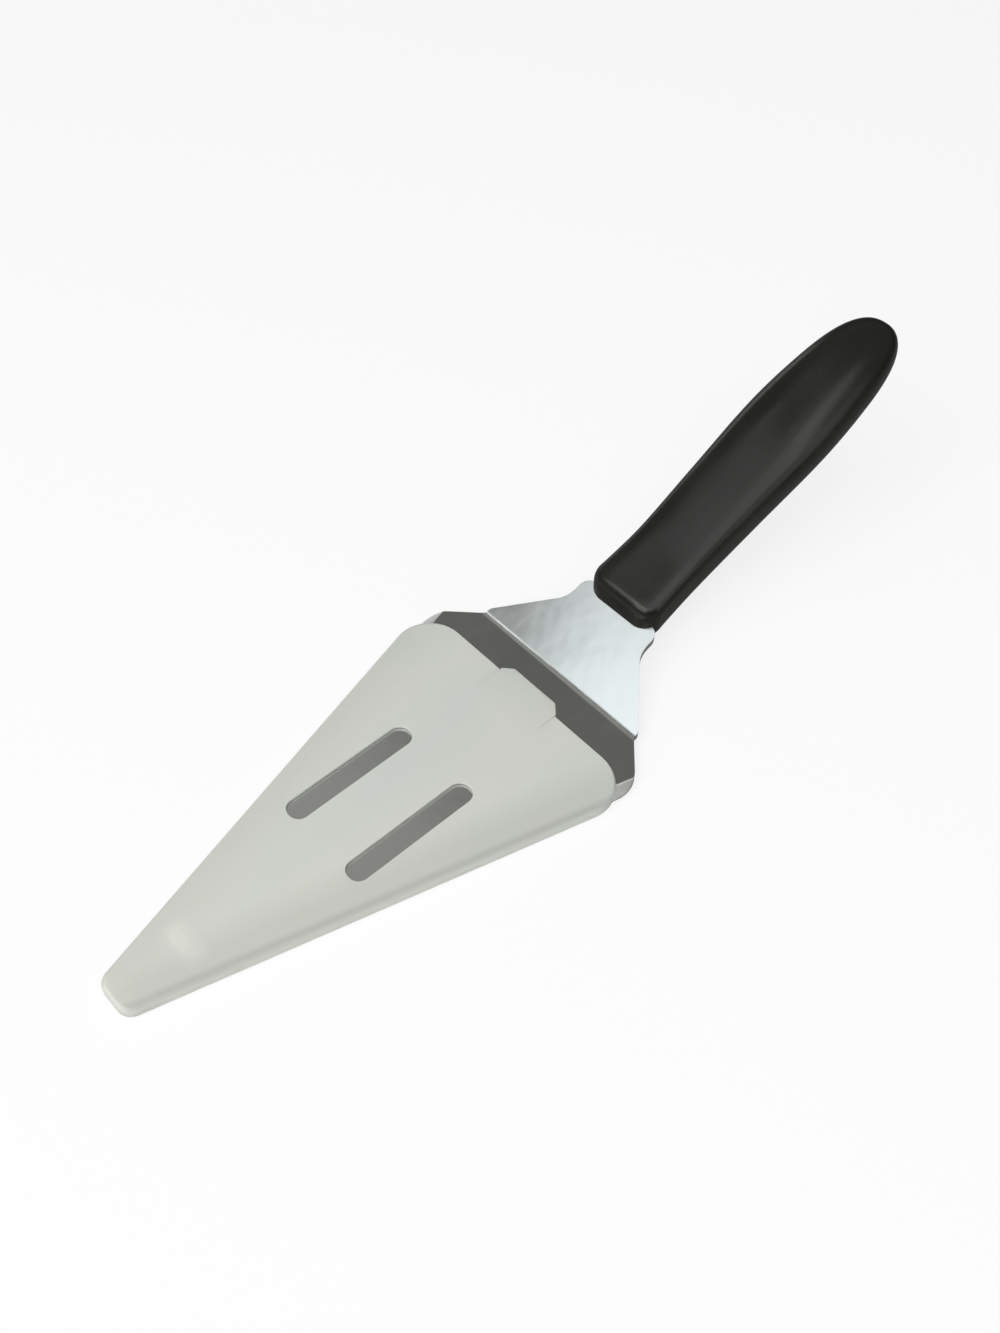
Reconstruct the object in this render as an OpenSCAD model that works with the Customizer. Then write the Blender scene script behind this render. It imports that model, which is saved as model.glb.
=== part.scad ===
// Cake server: a stamped and bent steel blade, a moulded handle over its tang,
// and a translucent sleeve that slides over the blade to guard its toothed edges.
// Millimetres, +Z up, tip toward -X. The origin is the middle of the sleeve's flat underside.

/* [Steel] */
// Thickness of the sheet
sheet_t = 1.9; // [1.2:0.1:2]
// Inside radius of the bend
bend_r = 6; // [3:0.5:9]
// Rise of the neck and the handle, in degrees
rise_angle = 21.4; // [12:0.2:30]

/* [Blade] */
// Length from the tip to the shoulders
blade_len = 120.2; // [100:0.1:140]
// Width across the shoulders
blade_w = 77.9; // [66:0.2:92]
// Width across the tip
tip_w = 10.2; // [9:0.2:20]
// Corner radius of the tip
tip_r = 4; // [1:0.1:4.5]
// Corner radius of the shoulders
shoulder_r = 8.5; // [1:0.5:10]
// Width of the ground bevel along each long edge
bevel_w = 3.4; // [1.5:0.1:5]
// Thickness left at the ground edge
edge_t = 0.4; // [0.2:0.05:0.8]
// Distance from one tooth to the next
tooth_pitch = 4; // [3:0.25:7]
// Depth of the gaps between the teeth
tooth_depth = 0.8; // [0.3:0.05:1.2]
// Flat left at the point of each tooth
tooth_flat = 0.5; // [0.2:0.05:1.5]

/* [Neck] */
// Distance from the shoulders to the bend
bend_x = 10.7; // [8:0.1:16]
// Width across the bend
bend_w = 56; // [46:0.2:62]
// Straight run of each side across the bend
bend_run = 1.5; // [1:0.1:4]
// Angle of the sides between the bend and the handle
flare_angle = 44.4; // [38:0.2:52]
// Width where the neck meets the handle
neck_w = 26.6; // [22:0.2:30]
// Radius of the waist where the sides turn along the handle
waist_r = 7; // [3:0.5:10]
// Length from the bend to the front of the handle
neck_len = 22.4; // [21:0.2:32]

/* [Tang] */
// Width of the tang inside the handle
tang_w = 10; // [9:0.5:16]
// Length of the tang inside the handle
tang_len = 46; // [44:1:86]
// Diameter of the holes that lock the handle to the tang
key_d = 4; // [3:0.5:6]

/* [Handle] */
// Length of the handle
handle_len = 108.4; // [98:0.2:125]
// Width at the narrow part behind the front end
front_w = 21.9; // [20:0.2:25]
// Thickness behind the rounded front end
front_t = 12; // [10:0.25:14]
// Width at the swell
swell_w = 25.6; // [22:0.2:30]
// Thickness at the swell
swell_t = 16.6; // [13:0.2:20]
// Height of the handle's centre line over the steel at the swell
lift = 2; // [0:0.1:3]
// Radius of the front corners seen from above
front_corner_r = 5.8; // [3:0.1:7]
// Radius of the front edges seen from the side
front_edge_r = 2.5; // [1.5:0.25:4]

/* [Sleeve] */
// Thickness of the walls over and under the steel
face_wall = 0.8; // [0.7:0.05:1.5]
// Gap between the steel and each of those walls
face_gap = 0.15; // [0.1:0.05:0.5]
// Thickness of the side walls
side_wall = 1.5; // [1:0.1:2.5]
// Gap between each long edge and its side wall
side_gap = 0.5; // [0.3:0.1:1]
// Solid length in front of the tip
nose_len = 5.5; // [3:0.5:10]
// How far the mouth passes the shoulders
mouth_x = -0.1; // [-2:0.1:4]
// Radius of the corners at the mouth
mouth_r = 9.5; // [3:0.5:12]
// Radius of the corners at the nose
nose_r = 4; // [2:0.25:4.75]
// Radius of the outer edges
rim_r = 1.2; // [0.5:0.1:1.6]

/* [Sleeve slots] */
// Length of each slot
slot_len = 37.8; // [20:0.2:60]
// Width of each slot
slot_w = 6.5; // [5:0.1:10]
// Distance between the middles of the two slots
slot_pitch = 23.1; // [18:0.2:30]
// Distance from the mouth to the slots
slot_back = 30.2; // [20:0.2:45]
// Corner radius of the slots
slot_r = 3; // [0.5:0.1:3.2]

/* [Thumb tab] */
// Width where the tab leaves the mouth
tab_root_w = 20.5; // [14:0.5:28]
// Width of the tab's end
tab_end_w = 16.5; // [10:0.5:24]
// How far the tab stands out of the mouth
tab_out = 2.75; // [1:0.25:6]
// Length over which the tab rises out of the sleeve
tab_in = 10; // [5:0.5:16]
// Height of the tab over the sleeve
tab_rise = 0.7; // [0.3:0.1:1.5]

/* [Nose bar] */
// Length of the raised bar across the nose
bar_len = 10.25; // [5:0.25:12]
// Width of the raised bar
bar_w = 3.8; // [2:0.1:5]
// Distance from the nose to the middle of the bar
bar_back = 20; // [14:0.5:30]
// Height of the bar over the sleeve
bar_rise = 0.35; // [0.2:0.05:0.8]

/* [Hidden] */
$fn = 64;
// Overrun of every cut
over = 1;
// Steps in a rounded corner of an outline
arc_steps = 12;

// Places along the steel, seen from above; x is 0 at the shoulders
rise_cos = cos(rise_angle);
bend_setback = (bend_r + sheet_t / 2) * tan(rise_angle / 2);
front_x = bend_x + neck_len * rise_cos;
flare_x = bend_x + bend_run + (bend_w - neck_w) / 2 / tan(flare_angle);
// The neck keeps its full width for this length into the handle's rounded front
neck_in = front_corner_r / 2;
neck_end_x = front_x + neck_in * rise_cos;
tang_end_x = front_x + tang_len * rise_cos;
tang_r = tang_w / 3;
key_shares = [0.32, 0.74];

// The long edges run straight from the shoulders to the tip
edge_angle = atan((blade_w - tip_w) / 2 / blade_len);
bevel_angle = atan((sheet_t - edge_t) / bevel_w);
edge_len = blade_len / cos(edge_angle);
tooth_count = floor((edge_len - tip_r - shoulder_r) / tooth_pitch);
// A gap between teeth is an arc of this radius, as deep as the teeth
gap_half = (tooth_pitch - tooth_flat) / 2;
gullet_r = (gap_half * gap_half + tooth_depth * tooth_depth) / (2 * tooth_depth);

// The sleeve follows the blade's outline at this distance, and its mouth keeps square edges
side_room = side_gap + side_wall;
sleeve_t = sheet_t + 2 * face_gap + 2 * face_wall;
pocket_t = sheet_t + 2 * face_gap;
nose_x = blade_len + side_gap + nose_len;
sleeve_len = nose_x + mouth_x;
slot_x = mouth_x - slot_back - slot_len / 2;
// Rounding of the tab and of the bar seen from above
pad_r = 1;
bar_r = 1.5;
// Width of the sloping side of the bar
bar_slope = 1.4;
// The tab starts under the top face, at this share of the wall
tab_start_share = 0.8;
// Steps in the rounding of the sleeve's outer edges
rim_steps = 5;

// Shares of the handle's length, and there the growth of its half sizes from the narrow part
// to the swell, the squareness of its section and the height of its centre line
station_shares = [0, 0.08, 0.2, 0.4, 0.62, 0.8, 1];
width_growth_shares = [0.45, 0.1, -0.07, 0.41, 1, 0.75, 1];
thick_growth_shares = [0, 0, 0.08, 0.44, 0.93, 1, 1];
square_shares = [1, 1, 0.88, 0.45, 0.12, 0.03, 0];
lift_shares = [0.57, 0.42, 0.3, 0.66, 1, 1.07, 1.12];
// The end closes from this share of the length on
dome_share = 0.672;
dome_power = 2.46;
// Powers of the round and of the square cross section
round_power = 2.3;
square_power = 4.2;
// The front end leans back as the steel leans, which makes it upright
rake_share = tan(rise_angle);
rake_fade_share = 0.3;
handle_rings = 48;
handle_sides = 56;

function unit(v) = v / norm(v);
function mirrored(half) = concat(half, [for (i = [len(half) - 1:-1:0]) [half[i].x, -half[i].y]]);
function twice(half) = concat(half, [for (i = [len(half) - 1:-1:0]) half[i]]);

// Points of an arc of radius r that rounds the corner b between a and c
function corner_arc(a, b, c, r) =
    let (
        u = unit(a - b),
        v = unit(c - b),
        half = acos(u * v) / 2,
        centre = b + unit(u + v) * r / sin(half),
        first = b + u * r / tan(half) - centre,
        last = b + v * r / tan(half) - centre,
        sweep = 180 - 2 * half
    )
    r == 0 ? [b] : [
        for (i = [0:arc_steps])
            let (f = i / arc_steps)
            centre + (first * sin((1 - f) * sweep) + last * sin(f * sweep)) / sin(sweep)
    ];

function rounded_points(points, radii) =
    let (n = len(points))
    [
        for (i = [0:n - 1])
            each corner_arc(points[(i + n - 1) % n], points[i], points[(i + 1) % n], radii[i])
    ];

module rounded_polygon(points, radii) {
    polygon(rounded_points(points, radii));
}

// Half width of the blade at x, moved out by a distance square to its long edge
function edge_y(x, out) = blade_w / 2 + x * tan(edge_angle) + out / cos(edge_angle);

// Moves from the shoulders to the part's own frame
module in_part() {
    translate([sleeve_len / 2 - mouth_x, 0, sleeve_t / 2]) children();
}

// Moves to the slope behind the bend: x along it, z square to it
module on_slope() {
    translate([bend_x, 0, 0]) rotate([0, -rise_angle, 0]) children();
}

// Outline of the flat blank as it lies under the finished piece, seen from above
module blank_outline() {
    half = [
        [-blade_len, tip_w / 2],
        [0, blade_w / 2],
        [bend_x, bend_w / 2],
        [bend_x + bend_run, bend_w / 2],
        [flare_x, neck_w / 2],
        [neck_end_x, neck_w / 2],
        [neck_end_x, tang_w / 2],
        [tang_end_x, tang_w / 2]
    ];
    rounded_polygon(
        mirrored(half),
        twice([tip_r, shoulder_r, bend_run, bend_run, waist_r, neck_in, 0, tang_r])
    );
}

// Everything over one face of the sheet, seen from the side and from the centre of the bend
module over_face(r) {
    far = sleeve_len + handle_len;
    translate([-far, -r]) square([far, far + r]);
    rotate(rise_angle) translate([0, -r]) square([far, far + r]);
    circle(r);
}

// The sheet seen from the side: flat, bent, and straight along the slope
module side_profile() {
    translate([bend_x - bend_setback, bend_r + sheet_t / 2]) difference() {
        over_face(bend_r + sheet_t);
        over_face(bend_r);
    }
}

// Gaps between the teeth of one long edge
module gullets() {
    translate([0, blade_w / 2]) rotate(edge_angle)
        for (i = [0:tooth_count - 1])
            translate([-shoulder_r - (i + 0.5) * tooth_pitch, gullet_r - tooth_depth]) circle(gullet_r, $fn = 32);
}

// The bent sheet without its ground edges
module pressing() {
    intersection() {
        rotate([90, 0, 0]) linear_extrude(2 * blade_w, center = true) side_profile();
        linear_extrude(2 * handle_len, center = true) difference() {
            blank_outline();
            for (side = [0, 1]) mirror([0, side]) gullets();
        }
    }
}

// Takes the bevel of one long edge off the upper face
module bevel_cut() {
    translate([0, blade_w / 2, edge_t - sheet_t / 2]) rotate([0, 0, edge_angle])
        translate([-edge_len - bevel_w, 0, 0]) rotate([-bevel_angle, 0, 0])
            translate([0, -2 * bevel_w, 0]) cube([edge_len + 2 * bevel_w, 3 * bevel_w, 2 * sheet_t]);
}

// Pins of the handle that fill the holes of the tang
module key_pins(length) {
    on_slope()
        for (share = key_shares)
            translate([neck_len + share * tang_len, 0, 0]) cylinder(d = key_d, h = length, center = true);
}

module blade() {
    color("#9b9c99") in_part() difference() {
        pressing();
        for (side = [0, 1]) mirror([0, side, 0]) bevel_cut();
        key_pins(3 * sheet_t);
    }
}

// Smooth step from 0 to 1
function ease(f) = f * f * (3 - 2 * f);
// Slope of a row of values at one of the stations
function station_slope(i, values) =
    let (
        a = max(0, i - 1),
        b = min(len(values) - 1, i + 1)
    )
    (values[b] - values[a]) / (station_shares[b] - station_shares[a]);
// Value at a share of the length, on one smooth curve through the stations
function along(f, values) =
    let (
        i = max([for (k = [0:len(station_shares) - 2]) f >= station_shares[k] ? k : 0]),
        h = station_shares[i + 1] - station_shares[i],
        u = (f - station_shares[i]) / h,
        bow = station_slope(i, values) * (1 - u) - station_slope(i + 1, values) * u
    )
    values[i] + (values[i + 1] - values[i]) * ease(u) + h * u * (1 - u) * bow;
// How much the rounded front end is drawn in at a distance from it
function drawn_in(s, r) = s >= r ? 0 : r - sqrt(r * r - (r - s) * (r - s));
// How much of the cross section is left as the end closes
function closing(f) = f <= dome_share ? 1
    : pow(max(0, 1 - pow((f - dome_share) / (1 - dome_share), dome_power)), 1 / dome_power);
function bulge(v, power) = sign(v) * pow(abs(v), 2 / power);
function half_width(s) =
    let (f = s / handle_len)
    (front_w + (swell_w - front_w) * along(f, width_growth_shares)) / 2 * closing(f)
        - drawn_in(s, front_corner_r);
function half_thick(s) =
    let (f = s / handle_len)
    (front_t + (swell_t - front_t) * along(f, thick_growth_shares)) / 2 * closing(f)
        - drawn_in(s, front_edge_r);
// One ring of the handle's surface, at a distance from its front
function ring(s) =
    let (
        f = s / handle_len,
        power = round_power + (square_power - round_power) * along(f, square_shares),
        rake = rake_share * max(0, 1 - f / rake_fade_share)
    )
    [
        for (k = [0:handle_sides - 1])
            let (
                a = 360 * k / handle_sides,
                z = lift * along(f, lift_shares) + half_thick(s) * bulge(sin(a), power)
            )
            [s + rake * z, half_width(s) * bulge(cos(a), power), z]
    ];

// Solid through closed rings of points, each with as many points
module loft(rings) {
    m = len(rings[0]);
    last = len(rings) - 1;
    polyhedron(
        [for (r = rings) each r],
        concat(
            [[for (k = [0:m - 1]) k]],
            [
                for (i = [0:last - 1], k = [0:m - 1])
                    let (a = i * m + k, b = i * m + (k + 1) % m)
                    each [[a, a + m, b], [b, a + m, b + m]]
            ],
            [[for (k = [m - 1:-1:0]) last * m + k]]
        )
    );
}

// The rings stand closer together toward both ends; the last leaves a small flat
module handle_body() {
    on_slope() translate([neck_len, 0, 0])
        loft([for (i = [0:handle_rings]) ring(handle_len * (1 - cos(176 * i / handle_rings)) / (1 - cos(176)))]);
}

module handle() {
    color("#2b2c2b") in_part() {
        difference() {
            handle_body();
            difference() {
                pressing();
                key_pins(3 * sheet_t);
            }
        }
    }
}

// Disc with a rounded rim, standing on the underside of the sleeve
module rounded_disc(r, height, rim) {
    rotate_extrude($fn = 40) {
        square([r - rim, height]);
        translate([0, rim]) square([r, height - 2 * rim]);
        for (z = [rim, height - rim]) translate([r - rim, z]) circle(rim, $fn = 24);
    }
}

// Outline of the sleeve at one height, drawn in along the long sides and the nose
function sleeve_ring(inset, z) =
    let (
        room = side_room - inset,
        end_x = inset - nose_x,
        half = [[end_x, edge_y(end_x, room)], [mouth_x, edge_y(mouth_x, room)]]
    )
    [for (p = rounded_points(mirrored(half), twice([nose_r - inset, mouth_r]))) [p.x, p.y, z]];

// Outside of the sleeve, from its top face down
module sleeve_shell() {
    half_t = sleeve_t / 2;
    loft([
        for (side = [1, -1], i = [0:rim_steps])
            let (a = 90 * (side > 0 ? i : rim_steps - i) / rim_steps)
            sleeve_ring(rim_r * (1 - sin(a)), side * (half_t - rim_r * (1 - cos(a))))
    ]);
}

// Thumb tab that rises out of the top face toward the mouth and stands out over it
module thumb_tab() {
    height = face_wall + tab_rise;
    end_x = mouth_x + tab_out - pad_r;
    hull() for (side = [-1, 1]) {
        translate([end_x, side * (tab_end_w / 2 - pad_r), pocket_t / 2]) rounded_disc(pad_r, height, tab_rise / 2);
        translate([mouth_x, side * (tab_root_w / 2 - pad_r), pocket_t / 2]) rounded_disc(pad_r, height, tab_rise / 2);
        translate([mouth_x - tab_in, side * (tab_root_w / 2 - pad_r), pocket_t / 2])
            cylinder(r = pad_r, h = tab_start_share * face_wall);
    }
}

// Raised bar across the nose, with sloping sides
module nose_bar() {
    sunk = face_wall / 2;
    spread = bar_slope / 2;
    reach = [bar_w / 2 - bar_r, bar_len / 2 - bar_r];
    hull() for (side = [-1, 1], end = [-1, 1])
        translate([bar_back - nose_x + end * reach.x, side * reach.y, sleeve_t / 2 - sunk])
            cylinder(
                r1 = bar_r + spread + bar_slope * sunk / bar_rise,
                r2 = bar_r - spread,
                h = sunk + bar_rise
            );
}

// Room for the steel, open at the mouth
module pocket() {
    end_x = -blade_len - side_gap;
    front = mouth_x + tab_out + over;
    linear_extrude(pocket_t, center = true) rounded_polygon(
        mirrored([[end_x, edge_y(end_x, side_gap)], [front, edge_y(front, side_gap)]]),
        twice([tip_r, 0])
    );
}

module slots() {
    half = [slot_len / 2, slot_w / 2];
    for (side = [-1, 1])
        translate([slot_x, side * slot_pitch / 2, 0]) linear_extrude(sleeve_t + 2 * over, center = true)
            rounded_polygon(mirrored([[-half.x, half.y], [half.x, half.y]]), twice([slot_r, slot_r]));
}

module sleeve() {
    color("#c9cfc6") in_part() difference() {
        union() {
            sleeve_shell();
            thumb_tab();
            nose_bar();
        }
        pocket();
        slots();
    }
}

blade();
handle();
sleeve();
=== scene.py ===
import math

import bmesh
import bpy
from mathutils import Matrix, Vector


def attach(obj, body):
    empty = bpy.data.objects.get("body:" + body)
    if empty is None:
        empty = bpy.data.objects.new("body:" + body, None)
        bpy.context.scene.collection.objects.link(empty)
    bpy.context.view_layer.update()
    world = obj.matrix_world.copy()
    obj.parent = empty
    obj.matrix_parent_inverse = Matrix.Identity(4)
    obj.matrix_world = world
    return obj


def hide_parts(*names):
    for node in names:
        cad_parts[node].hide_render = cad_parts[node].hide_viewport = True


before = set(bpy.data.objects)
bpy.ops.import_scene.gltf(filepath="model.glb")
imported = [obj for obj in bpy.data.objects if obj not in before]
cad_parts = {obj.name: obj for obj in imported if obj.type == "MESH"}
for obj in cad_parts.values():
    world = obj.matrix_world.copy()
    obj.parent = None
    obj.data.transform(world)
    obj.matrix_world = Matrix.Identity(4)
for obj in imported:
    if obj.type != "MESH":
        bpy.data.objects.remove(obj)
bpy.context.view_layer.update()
mm = 0.001


# Small helpers for shader trees
def addNode(tree, kind, **settings):
    node = tree.nodes.new(kind)
    for key, value in settings.items():
        if hasattr(node, key):
            setattr(node, key, value)
        else:
            node.inputs[key.replace("_", " ")].default_value = value
    return node


# An input takes either a link or a plain value
def feed(tree, socket, value):
    if isinstance(value, bpy.types.NodeSocket):
        tree.links.new(value, socket)
    else:
        socket.default_value = value


def mathNode(tree, operation, a, b=None, clamp=False):
    node = addNode(tree, "ShaderNodeMath", operation=operation, use_clamp=clamp)
    feed(tree, node.inputs[0], a)
    if b is not None:
        feed(tree, node.inputs[1], b)
    return node.outputs[0]


def remap(tree, value, low, high, toLow, toHigh):
    node = addNode(tree, "ShaderNodeMapRange")
    tree.links.new(value, node.inputs["Value"])
    limits = {"From Min": low, "From Max": high, "To Min": toLow, "To Max": toHigh}
    for name, number in limits.items():
        node.inputs[name].default_value = number
    return node.outputs["Result"]


def mixColors(tree, factor, a, b):
    node = addNode(tree, "ShaderNodeMix", data_type="RGBA")
    tree.links.new(factor, node.inputs[0])
    for socket, value in ((node.inputs[6], a), (node.inputs[7], b)):
        feed(tree, socket, value if isinstance(value, bpy.types.NodeSocket) else (*value, 1))
    return node.outputs[2]


def newGroup(name, inputs, outputs):
    tree = bpy.data.node_groups.new(name, "ShaderNodeTree")
    for label, kind, value in inputs:
        socket = tree.interface.new_socket(label, in_out="INPUT", socket_type=kind)
        socket.default_value = value
    for label, kind in outputs:
        tree.interface.new_socket(label, in_out="OUTPUT", socket_type=kind)
    return tree, tree.nodes.new("NodeGroupInput"), tree.nodes.new("NodeGroupOutput")


# Stretched noise in the piece's own coordinates: ground lines, clouds, moulding grain
def buildGrainGroup():
    tree, entry, leave = newGroup(
        "stretchedGrain",
        [("Stretch", "NodeSocketVector", (1, 1, 1)),
         ("Scale", "NodeSocketFloat", 1000),
         ("Detail", "NodeSocketFloat", 3)],
        [("Value", "NodeSocketFloat")])
    coords = addNode(tree, "ShaderNodeTexCoord")
    scaled = addNode(tree, "ShaderNodeVectorMath", operation="MULTIPLY")
    noise = addNode(tree, "ShaderNodeTexNoise")
    tree.links.new(coords.outputs["Object"], scaled.inputs[0])
    tree.links.new(entry.outputs["Stretch"], scaled.inputs[1])
    tree.links.new(scaled.outputs[0], noise.inputs["Vector"])
    tree.links.new(entry.outputs["Scale"], noise.inputs["Scale"])
    tree.links.new(entry.outputs["Detail"], noise.inputs["Detail"])
    tree.links.new(noise.outputs["Fac"], leave.inputs["Value"])
    return tree


# Two sets of hairlines, each with its turn and its shift; the noise shows above "from"
hairlines = {
    "sets": ((0.35, 0.0), (-0.8, 3.1)), "squeeze": (0.35, 14, 1), "detail": 2,
    "from": 0.69, "full": 0.74,
}


# Fine hairline scratches from handling, as a mask
def buildScratchGroup():
    tree, entry, leave = newGroup(
        "handlingScratches",
        [("Scale", "NodeSocketFloat", 60),
         ("Turn", "NodeSocketFloat", 0.5),
         ("Amount", "NodeSocketFloat", 0.5)],
        [("Mask", "NodeSocketFloat")])
    coords = addNode(tree, "ShaderNodeTexCoord")
    masks = []
    for turn, shift in hairlines["sets"]:
        turned = addNode(tree, "ShaderNodeVectorRotate", rotation_type="Z_AXIS")
        angle = mathNode(tree, "ADD", entry.outputs["Turn"], turn)
        tree.links.new(coords.outputs["Object"], turned.inputs["Vector"])
        tree.links.new(angle, turned.inputs["Angle"])
        squeezed = addNode(tree, "ShaderNodeVectorMath", operation="MULTIPLY_ADD")
        tree.links.new(turned.outputs[0], squeezed.inputs[0])
        squeezed.inputs[1].default_value = hairlines["squeeze"]
        squeezed.inputs[2].default_value = (shift, shift, 0)
        noise = addNode(tree, "ShaderNodeTexNoise", Detail=hairlines["detail"])
        tree.links.new(squeezed.outputs[0], noise.inputs["Vector"])
        tree.links.new(entry.outputs["Scale"], noise.inputs["Scale"])
        masks.append(remap(tree, noise.outputs["Fac"], hairlines["from"], hairlines["full"], 0, 1))
    either = mathNode(tree, "MAXIMUM", *masks)
    shown = mathNode(tree, "MULTIPLY", either, entry.outputs["Amount"])
    tree.links.new(shown, leave.inputs["Mask"])
    return tree


grainGroup = buildGrainGroup()
scratchGroup = buildScratchGroup()


def useGroup(tree, group, values):
    node = tree.nodes.new("ShaderNodeGroup")
    node.node_tree = group
    for key, value in values.items():
        node.inputs[key].default_value = value
    return node.outputs[0]


def newMaterial(name, **shaderValues):
    material = bpy.data.materials.new(name)
    material.use_nodes = True
    tree = material.node_tree
    shader = tree.nodes["Principled BSDF"]
    for key, value in shaderValues.items():
        shader.inputs[key.replace("_", " ")].default_value = value
    return material, tree, shader


# Roughness follows the middle of the noise's range, and scratches add to it
def setRoughness(tree, shader, look, tone, scratches):
    rough = remap(tree, tone, *look["roughSpan"], look["smooth"], look["rough"])
    scratched = mathNode(tree, "MULTIPLY", scratches, look["scratchRoughness"])
    tree.links.new(mathNode(tree, "ADD", rough, scratched), shader.inputs["Roughness"])


def bumpInto(tree, shader, height, strength, distance, under=None):
    bump = addNode(tree, "ShaderNodeBump", Strength=strength, Distance=distance)
    tree.links.new(height, bump.inputs["Height"])
    if under:
        tree.links.new(under.outputs["Normal"], bump.inputs["Normal"])
    tree.links.new(bump.outputs["Normal"], shader.inputs["Normal"])
    return bump


# Ground stainless steel, satin, with fine lines along the blade
steelLook = {
    "color": (0.655, 0.66, 0.655), "dullColor": (0.60, 0.605, 0.595), "toneSpan": (0.35, 0.65),
    "smooth": 0.15, "rough": 0.23, "roughSpan": (0.3, 0.7), "scratchRoughness": 0.12,
    "lines": {"Stretch": (0.012, 1, 0.012), "Scale": 5200, "Detail": 4}, "lineShare": 0.4,
    "clouds": {"Stretch": (0.6, 1, 0.6), "Scale": 55, "Detail": 4}, "cloudShare": 0.6,
    "scratches": {"Scale": 60, "Turn": 0.2, "Amount": 0.25}, "scratchDepth": 0.6,
    "lineBump": 0.03, "lineHeight": 0.00005,
    "waves": {"Scale": 75, "Detail": 2}, "waveBump": 1, "waveHeight": 0.00009,
}


def makeSteel():
    look = steelLook
    material, tree, shader = newMaterial("groundSteel", Metallic=1)
    lines = useGroup(tree, grainGroup, look["lines"])
    clouds = useGroup(tree, grainGroup, look["clouds"])
    scratches = useGroup(tree, scratchGroup, look["scratches"])
    tone = mathNode(tree, "ADD", mathNode(tree, "MULTIPLY", lines, look["lineShare"]),
                    mathNode(tree, "MULTIPLY", clouds, look["cloudShare"]))
    shade = remap(tree, tone, *look["toneSpan"], 0, 1)
    color = mixColors(tree, shade, look["dullColor"], look["color"])
    tree.links.new(color, shader.inputs["Base Color"])
    setRoughness(tree, shader, look, tone, scratches)
    # The sheet is not quite flat, which mottles what it mirrors
    waves = useGroup(tree, grainGroup, look["waves"])
    wavy = bumpInto(tree, shader, waves, look["waveBump"], look["waveHeight"])
    cuts = mathNode(tree, "MULTIPLY", scratches, look["scratchDepth"])
    height = mathNode(tree, "SUBTRACT", lines, cuts)
    bumpInto(tree, shader, height, look["lineBump"], look["lineHeight"], wavy)
    return material


# Black moulded plastic, satin, a little worn
gripLook = {
    "color": (0.0105, 0.0108, 0.01), "wornColor": (0.0155, 0.0155, 0.0145), "toneSpan": (0.35, 0.7),
    "smooth": 0.19, "rough": 0.28, "roughSpan": (0.3, 0.7), "scratchRoughness": 0.1,
    "refraction": 1.49, "shine": 0.37, "shineTint": (1.0, 0.97, 0.92),
    "grain": {"Scale": 2600, "Detail": 3},
    "clouds": {"Stretch": (0.5, 1, 1), "Scale": 70, "Detail": 5}, "cloudDepth": 0.5,
    "scratches": {"Scale": 45, "Turn": -0.3, "Amount": 0.3},
    "grainBump": 0.10, "grainHeight": 0.0002,
}


def makeGrip():
    look = gripLook
    material, tree, shader = newMaterial("blackMoulding", IOR=look["refraction"],
                                         Specular_IOR_Level=look["shine"],
                                         Specular_Tint=(*look["shineTint"], 1))
    grain = useGroup(tree, grainGroup, look["grain"])
    clouds = useGroup(tree, grainGroup, look["clouds"])
    scratches = useGroup(tree, scratchGroup, look["scratches"])
    wear = remap(tree, clouds, *look["toneSpan"], 0, 1)
    color = mixColors(tree, wear, look["color"], look["wornColor"])
    tree.links.new(color, shader.inputs["Base Color"])
    setRoughness(tree, shader, look, clouds, scratches)
    height = mathNode(tree, "ADD", grain, mathNode(tree, "MULTIPLY", clouds, look["cloudDepth"]))
    bumpInto(tree, shader, height, look["grainBump"], look["grainHeight"])
    return material


# Milky plastic that lets a little light through; its places are in metres, on the sleeve
sleeveLook = {
    "color": (0.69, 0.706, 0.668), "warmColor": (0.728, 0.722, 0.668), "toneSpan": (0.35, 0.65),
    "smooth": 0.36, "rough": 0.48, "roughSpan": (0.3, 0.7), "scratchRoughness": 0.12,
    "refraction": 1.5, "opacity": 0.95, "scatter": 0.3, "scatterDepth": 0.003,
    "clouds": {"Stretch": (0.4, 1, 1), "Scale": 38, "Detail": 3},
    "grain": {"Scale": 1800, "Detail": 2},
    "scratches": {"Scale": 50, "Turn": 0.6, "Amount": 0.35},
    "grainBump": 0.05, "grainHeight": 0.00015,
    # It is warmer in tone toward the nose
    "warmFrom": 0.02, "warmTo": -0.045, "warmShift": 0.75,
    # Painted shade darkens the rims, nose and tab; the bar is thicker, and a painted highlight
    # makes it paler
    "rimAtMouth": 0.04103, "mouthX": 0.06305, "rimSlope": 0.2816,
    "rimLow": 0.0026, "rimHigh": 0.0037,
    # From each rim: where the painted shade starts, where it is full, its power and its amount
    "nearRimShade": (0.0064, 0.0008, 2, 0.36), "nearSlopeShade": (0.0145, 0.006, 1, 0.125),
    "farRimShade": (0.018, 0.0008, 2, 0.1),
    "noseFrom": -0.0515, "noseTo": -0.0565, "noseShade": 0.09,
    "tabFrom": 0.053, "tabTo": 0.061, "tabHalf": 0.0095, "tabFade": 0.003, "tabShade": 0.09,
    # A painted highlight makes the plastic paler over the bar
    "barX": -0.04305, "barHalf": (0.0026, 0.0058), "barFade": 0.0016, "barPaintedHighlight": 0.08,
}
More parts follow.
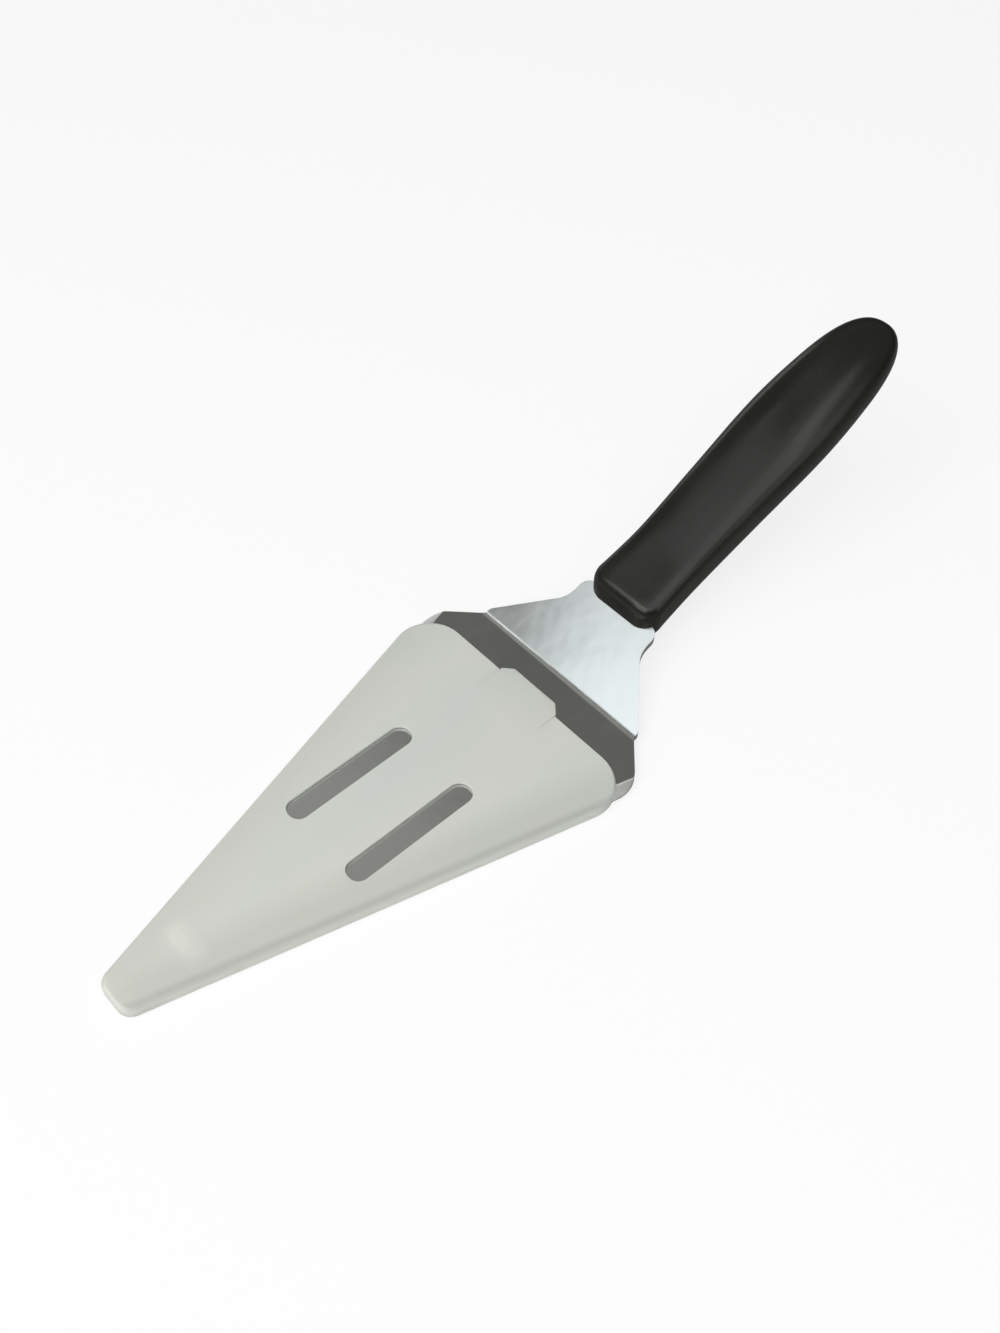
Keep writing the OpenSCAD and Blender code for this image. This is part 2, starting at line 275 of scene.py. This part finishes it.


# How much painted shade darkens the plastic at a place on the sleeve, less the painted highlight
# over the bar
def sleevePaintedLightAndShade(tree, x, y, z):
    look = sleeveLook
    fromMouth = mathNode(tree, "SUBTRACT", x, look["mouthX"])
    tapered = mathNode(tree, "MULTIPLY", fromMouth, look["rimSlope"])
    halfWidth = mathNode(tree, "ADD", tapered, look["rimAtMouth"])
    onTop = remap(tree, z, look["rimLow"], look["rimHigh"], 0, 1)
    toNearRim = mathNode(tree, "ADD", halfWidth, y)
    toFarRim = mathNode(tree, "SUBTRACT", halfWidth, y)
    rims = ((toNearRim, look["nearRimShade"]), (toNearRim, look["nearSlopeShade"]),
            (toFarRim, look["farRimShade"]))
    total = None
    for toRim, (start, full, power, amount) in rims:
        reach = mathNode(tree, "POWER", remap(tree, toRim, start, full, 0, 1), power)
        shadePart = mathNode(tree, "MULTIPLY", mathNode(tree, "MULTIPLY", reach, onTop), amount)
        total = shadePart if total is None else mathNode(tree, "MAXIMUM", total, shadePart)
    side = mathNode(tree, "ABSOLUTE", y)
    nose = remap(tree, x, look["noseFrom"], look["noseTo"], 0, look["noseShade"])
    overTab = mathNode(tree, "MULTIPLY",
                       remap(tree, x, look["tabFrom"], look["tabTo"], 0, look["tabShade"]),
                       remap(tree, side, look["tabHalf"], look["tabHalf"] + look["tabFade"], 1, 0))
    total = mathNode(tree, "MAXIMUM", mathNode(tree, "MAXIMUM", total, nose), overTab)
    # The painted highlight over the bar is taken off the painted shade
    fromBar = mathNode(tree, "ABSOLUTE", mathNode(tree, "SUBTRACT", x, look["barX"]))
    halfX, halfY = look["barHalf"]
    fade = look["barFade"]
    overBar = mathNode(tree, "MULTIPLY",
                       remap(tree, fromBar, halfX - fade, halfX + fade, look["barPaintedHighlight"], 0),
                       remap(tree, side, halfY - fade, halfY + fade, 1, 0))
    return mathNode(tree, "SUBTRACT", total, overBar)


def makeSleeve():
    look = sleeveLook
    material, tree, shader = newMaterial("milkySleeve", IOR=look["refraction"],
                                         Alpha=look["opacity"],
                                         Subsurface_Weight=look["scatter"],
                                         Subsurface_Scale=look["scatterDepth"],
                                         Subsurface_Radius=(1, 1, 1))
    clouds = useGroup(tree, grainGroup, look["clouds"])
    grain = useGroup(tree, grainGroup, look["grain"])
    scratches = useGroup(tree, scratchGroup, look["scratches"])
    place = addNode(tree, "ShaderNodeTexCoord")
    parts = addNode(tree, "ShaderNodeSeparateXYZ")
    tree.links.new(place.outputs["Object"], parts.inputs[0])
    x, y, z = parts.outputs
    warmerNose = remap(tree, x, look["warmFrom"], look["warmTo"], 0, look["warmShift"])
    warmth = mathNode(tree, "ADD", remap(tree, clouds, *look["toneSpan"], 0, 1), warmerNose, clamp=True)
    toned = addNode(tree, "ShaderNodeVectorMath", operation="SCALE")
    tree.links.new(mixColors(tree, warmth, look["color"], look["warmColor"]), toned.inputs[0])
    # Painted shade darkens the colour at the rims, nose and tab, and a painted highlight lightens
    # it over the bar
    unshaded = mathNode(tree, "SUBTRACT", 1, sleevePaintedLightAndShade(tree, x, y, z))
    tree.links.new(unshaded, toned.inputs["Scale"])
    tree.links.new(toned.outputs[0], shader.inputs["Base Color"])
    setRoughness(tree, shader, look, clouds, scratches)
    height = mathNode(tree, "SUBTRACT", grain, scratches)
    bumpInto(tree, shader, height, look["grainBump"], look["grainHeight"])
    return material


steel = makeSteel()
grip = makeGrip()
milky = makeSleeve()
print("materials made")


def smoothMesh(name, bm, material):
    mesh = bpy.data.meshes.new(name)
    bm.to_mesh(mesh)
    bm.free()
    thing = bpy.data.objects.new(name, mesh)
    bpy.context.scene.collection.objects.link(thing)
    mesh.materials.append(material)
    for face in mesh.polygons:
        face.use_smooth = True
    return thing


def linkPiece(name, bm, material, body, slotName, *nodes):
    bm.normal_update()
    piece = smoothMesh(name, bm, material)
    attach(piece, body)
    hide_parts(*nodes)
    return piece


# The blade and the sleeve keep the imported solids' shapes and get their sharp edges broken:
# widths and distances in metres, angles in degrees
weld = {"distance": 2e-6, "flatAngle": 0.4}
bladeEdges = {"width": 0.00014, "sharperThan": 28, "segments": 2, "flatWeight": 100}
sleeveEdges = {"width": 0.00018, "sharperThan": 28, "segments": 2, "flatWeight": 100}


def weldedCopy(node):
    bm = bmesh.new()
    bm.from_mesh(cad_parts[node].data)
    bmesh.ops.remove_doubles(bm, verts=bm.verts, dist=weld["distance"])
    bmesh.ops.dissolve_limit(bm, angle_limit=math.radians(weld["flatAngle"]),
                             verts=bm.verts, edges=bm.edges)
    return bm


def softenEdges(piece, edges):
    bevel = piece.modifiers.new("softEdges", "BEVEL")
    bevel.width = edges["width"]
    bevel.segments = edges["segments"]
    bevel.limit_method = "ANGLE"
    bevel.angle_limit = math.radians(edges["sharperThan"])
    bevel.harden_normals = True
    weighted = piece.modifiers.new("flatFaces", "WEIGHTED_NORMAL")
    weighted.weight = edges["flatWeight"]


blade = linkPiece("groundBlade", weldedCopy("blade"), steel, "server", "steel", "blade")
softenEdges(blade, bladeEdges)
sleeve = linkPiece("bladeSleeve", weldedCopy("sleeve"), milky, "guard", "sleeve_plastic", "sleeve")
softenEdges(sleeve, sleeveEdges)
print("blade and sleeve made")


# The handle is lofted afresh along the slope, in the same sizes as its solid: millimetres and
# degrees, and at each station a share of the way from the front's size to the swell's
handleSizes = {
    "bendX": 73.85, "steelZ": 1.9, "rise": 21.4, "frontGap": 22.4,
    "length": 108.4, "frontW": 21.9, "frontT": 12, "swellW": 25.6, "swellT": 16.6, "lift": 2,
    "cornerR": 5.8, "edgeR": 2.5, "domeShare": 0.672, "domePower": 2.46,
    "roundPower": 2.3, "squarePower": 4.2, "rakeFade": 0.3,
    "stations": (0, 0.08, 0.2, 0.4, 0.62, 0.8, 1),
    "widths": (0.45, 0.1, -0.07, 0.41, 1, 0.75, 1),
    "heights": (0, 0, 0.08, 0.44, 0.93, 1, 1),
    "squares": (1, 1, 0.88, 0.45, 0.12, 0.03, 0),
    "lifts": (0.57, 0.42, 0.3, 0.66, 1, 1.07, 1.12),
    "rings": 150, "sides": 128, "ringSweep": 177.5,
}


# One smooth curve through the values at the stations
def shareAlong(share, values):
    stations = handleSizes["stations"]
    last = len(stations) - 1

    def slopeAt(k):
        low, high = max(0, k - 1), min(last, k + 1)
        return (values[high] - values[low]) / (stations[high] - stations[low])

    i = max(k for k in range(last) if share >= stations[k])
    span = stations[i + 1] - stations[i]
    f = (share - stations[i]) / span
    bow = slopeAt(i) * (1 - f) - slopeAt(i + 1) * f
    return values[i] + (values[i + 1] - values[i]) * f * f * (3 - 2 * f) + span * f * (1 - f) * bow


# How far the front's rounded edge of radius r draws the section in at s from the front
def drawnIn(s, r):
    return 0 if s >= r else r - math.sqrt(max(0, r * r - (r - s) ** 2))


def between(low, high, share):
    return low + (high - low) * share


# A point of the handle's skin, s along it from the front and turned round its middle
def handlePoint(s, turn):
    sizes = handleSizes
    share = s / sizes["length"]
    closing = 1
    if share > sizes["domeShare"]:
        f = (share - sizes["domeShare"]) / (1 - sizes["domeShare"])
        closing = max(0, 1 - f ** sizes["domePower"]) ** (1 / sizes["domePower"])
    halfW = between(sizes["frontW"], sizes["swellW"], shareAlong(share, sizes["widths"])) / 2
    halfT = between(sizes["frontT"], sizes["swellT"], shareAlong(share, sizes["heights"])) / 2
    halfW = halfW * closing - drawnIn(s, sizes["cornerR"])
    halfT = halfT * closing - drawnIn(s, sizes["edgeR"])
    power = between(sizes["roundPower"], sizes["squarePower"], shareAlong(share, sizes["squares"]))
    c, d = math.cos(turn), math.sin(turn)
    y = halfW * math.copysign(abs(c) ** (2 / power), c)
    h = sizes["lift"] * shareAlong(share, sizes["lifts"])
    h += halfT * math.copysign(abs(d) ** (2 / power), d)
    rake = math.tan(math.radians(sizes["rise"])) * max(0, 1 - share / sizes["rakeFade"])
    return s + rake * h, y, h


# Rings lie close together at both ends and further apart between them
def ringPlaces():
    sizes = handleSizes
    sweep = math.radians(sizes["ringSweep"])
    full = 1 - math.cos(sweep)
    return [sizes["length"] * (1 - math.cos(sweep * i / sizes["rings"])) / full
            for i in range(sizes["rings"] + 1)]


# Faces between each ring and the next
def bridgeRings(bm, rings):
    for lower, upper in zip(rings, rings[1:]):
        sides = len(lower)
        for k in range(sides):
            j = (k + 1) % sides
            bm.faces.new((lower[k], lower[j], upper[j], upper[k]))


def makeHandle():
    sizes = handleSizes
    place = (Matrix.Translation((sizes["bendX"], 0, sizes["steelZ"]))
             @ Matrix.Rotation(math.radians(-sizes["rise"]), 4, "Y")
             @ Matrix.Translation((sizes["frontGap"], 0, 0)))
    turns = [2 * math.pi * k / sizes["sides"] for k in range(sizes["sides"])]
    bm = bmesh.new()
    rings = [[bm.verts.new((place @ Vector(handlePoint(s, turn))) * mm) for turn in turns]
             for s in ringPlaces()]
    bridgeRings(bm, rings)
    bm.faces.new(list(reversed(rings[0])))
    bm.faces.new(rings[-1])
    bmesh.ops.recalc_face_normals(bm, faces=bm.faces)
    linkPiece("mouldedHandle", bm, grip, "server", "handle_plastic", "handle")


makeHandle()
print("handle made")


# The floor is a wide pale bowl; glows are shares of white, and lengths are in metres
studio = {
    "floorColor": (0.92, 0.92, 0.92), "nearColor": (0.2, 0.2, 0.19), "farColor": (0.12, 0.12, 0.12),
    "floorGlow": 0.8, "mirroredGlow": 0.08, "paleTo": 0.4, "darkFrom": 1.2,
    "worldColor": (0.155, 0.158, 0.147),
    "bowlRadius": 3.2, "bowlHeight": 1.3, "bowlSteps": 16, "bowlSides": 96, "bowlDrop": 0.00005,
}


def makeFloorMaterial():
    material = bpy.data.materials.new("paleFloor")
    material.use_nodes = True
    tree = material.node_tree
    tree.nodes.clear()
    path = addNode(tree, "ShaderNodeLightPath")
    place = addNode(tree, "ShaderNodeTexCoord")
    reach = addNode(tree, "ShaderNodeVectorMath", operation="LENGTH")
    tree.links.new(place.outputs["Object"], reach.inputs[0])
    near = remap(tree, reach.outputs["Value"], studio["paleTo"], studio["darkFrom"], 1, 0)
    # The camera and the soft bounce light meet a pale floor; mirrored, it is darker
    dim = mixColors(tree, near, studio["farColor"], studio["nearColor"])
    floorColor = mixColors(tree, path.outputs["Is Glossy Ray"], studio["floorColor"], dim)
    diffuse = addNode(tree, "ShaderNodeBsdfDiffuse")
    tree.links.new(floorColor, diffuse.inputs["Color"])
    glow = addNode(tree, "ShaderNodeEmission", Strength=1.0)
    seen = mathNode(tree, "MULTIPLY", path.outputs["Is Camera Ray"], studio["floorGlow"])
    bounced = mathNode(tree, "ADD", path.outputs["Is Glossy Ray"],
                       path.outputs["Is Transmission Ray"], clamp=True)
    mirrored = mathNode(tree, "MULTIPLY", mathNode(tree, "MULTIPLY", bounced, near),
                        studio["mirroredGlow"])
    mix = addNode(tree, "ShaderNodeMixShader")
    tree.links.new(mathNode(tree, "MAXIMUM", seen, mirrored), mix.inputs[0])
    tree.links.new(diffuse.outputs[0], mix.inputs[1])
    tree.links.new(glow.outputs[0], mix.inputs[2])
    output = addNode(tree, "ShaderNodeOutputMaterial")
    tree.links.new(mix.outputs[0], output.inputs["Surface"])
    return material


def makeFloor():
    radius, height = studio["bowlRadius"], studio["bowlHeight"]
    steps, sides = studio["bowlSteps"], studio["bowlSides"]
    profile = [(radius - height + height * math.sin(a), height - height * math.cos(a))
               for a in (math.pi / 2 * i / steps for i in range(steps + 1))]
    turns = [2 * math.pi * k / sides for k in range(sides)]
    bm = bmesh.new()
    rings = [[bm.verts.new((r * math.cos(t), r * math.sin(t), h - studio["bowlDrop"]))
              for t in turns] for r, h in profile]
    bridgeRings(bm, rings)
    bm.faces.new(list(reversed(rings[0])))
    bmesh.ops.recalc_face_normals(bm, faces=bm.faces)
    floor = smoothMesh("studioFloor", bm, makeFloorMaterial())


# Places and sizes in metres; a lamp without an aim shines straight down
ceilingColor = (0.92, 1.0, 1.03)
cardColor = (1.0, 1.0, 0.97)
lamps = {
    # The ceiling, in strips that the neck, the handle's top and its ridge mirror
    "neckPanel": {"at": (-0.5, 0.505, 1.2), "size": (0.95, 0.21),
                  "radiance": 1.47, "color": ceilingColor},
    "topPanel": {"at": (-0.4925, 0.15, 1.2), "size": (0.965, 0.5),
                 "radiance": 1.12, "color": ceilingColor},
    "sidePanel": {"at": (-0.4575, -0.735, 1.2), "size": (1.035, 1.27),
                  "radiance": 1.5, "color": ceilingColor},
    "ridgePanel": {"at": (0.155, -0.75, 1.2), "size": (0.19, 1.3),
                   "radiance": 2.2, "color": cardColor},
    "ridgeCard": {"at": (0.05, -0.34, 1.2), "size": (0.5, 0.5),
                  "radiance": 1.7, "color": cardColor},
    "bendCard": {"at": (0.05, 0.69, 1.2), "size": (0.16, 0.14),
                 "radiance": 2.2, "color": (1, 1, 1)},
    "paleCard": {"at": (0.37, 0.66, 1.2), "size": (0.3, 0.5),
                 "radiance": 0.24, "color": (1, 1, 0.95)},
    "frontPanel": {"at": (-0.95, -0.1, 0.85), "aim": (0, 0, 0), "size": (1.1, 1.1),
                   "radiance": 3.0, "color": (1, 1, 0.98)},
    # Cards that only reflections show
    "edgeCard": {"at": (-0.716, 0.571, 0.917), "aim": (0.1, 0, 0.02), "size": (0.5, 0.6),
                 "radiance": 2.0, "color": cardColor, "onlyMirrored": True},
    "stripeCard": {"at": (0.06, 0.05, 1.2), "size": (0.26, 0.3),
                   "radiance": 0.75, "color": cardColor, "onlyMirrored": True},
    "swellCard": {"at": (0.335, -0.2, 1.2), "size": (0.17, 0.32),
                  "radiance": 1.7, "color": cardColor, "onlyMirrored": True},
    "nearCard": {"at": (0.4, -1.27, 0.6), "aim": (0.13, 0, 0.03), "size": (0.6, 1.0),
                 "radiance": 0.95, "color": cardColor, "onlyMirrored": True},
    "wallCard": {"at": (0.4, 1.1, 0.16), "aim": (0.062, 0.037, 0), "size": (0.7, 0.3),
                 "radiance": 1.0, "color": (1, 1, 1), "onlyMirrored": True},
}


def addLamp(name, spec):
    x, y, z = spec["at"]
    light = bpy.data.lights.new(name, "AREA")
    light.shape = "RECTANGLE"
    light.size, light.size_y = spec["size"]
    light.energy = spec["radiance"] * math.pi * light.size * light.size_y
    light.color = spec["color"]
    lamp = bpy.data.objects.new(name, light)
    lamp.visible_camera = False
    lamp.visible_diffuse = not spec.get("onlyMirrored", False)
    lamp.location = (x, y, z)
    look = Vector(spec.get("aim", (x, y, 0))) - Vector((x, y, z))
    lamp.rotation_euler = look.to_track_quat("-Z", "Y").to_euler()
    bpy.context.scene.collection.objects.link(lamp)


def makeStudio():
    makeFloor()
    for name, spec in lamps.items():
        addLamp(name, spec)
    world = bpy.data.worlds.new("studioRoom")
    world.use_nodes = True
    background = world.node_tree.nodes["Background"]
    background.inputs["Color"].default_value = (*studio["worldColor"], 1)
    background.inputs["Strength"].default_value = 1
    bpy.context.scene.world = world
    bpy.context.scene.view_settings.view_transform = "Standard"


# The camera's place, from a fit to the photo's outlines: millimetres and degrees, clips in metres
cameraFit = {
    "at": (-89.82, -157.66, 291.24), "azimuth": 47.72, "down": 51.56, "lens": 37.81, "sensor": 36,
    "clips": (0.01, 50),
}


def makeCamera():
    fit = cameraFit
    a, e = math.radians(fit["azimuth"]), math.radians(fit["down"])
    away = Vector((math.cos(a), math.sin(a), 0))
    right = Vector((math.sin(a), -math.cos(a), 0))
    ahead = away * math.cos(e) - Vector((0, 0, math.sin(e)))
    up = right.cross(ahead)
    data = bpy.data.cameras.new("photoCamera")
    data.lens = fit["lens"]
    data.sensor_width = fit["sensor"]
    data.clip_start, data.clip_end = fit["clips"]
    camera = bpy.data.objects.new("photoCamera", data)
    turn = Matrix((right, up, -ahead)).transposed().to_4x4()
    camera.matrix_world = Matrix.Translation(Vector(fit["at"]) * mm) @ turn
    bpy.context.scene.collection.objects.link(camera)
    bpy.context.scene.camera = camera


makeStudio()
makeCamera()
print("studio and camera made")
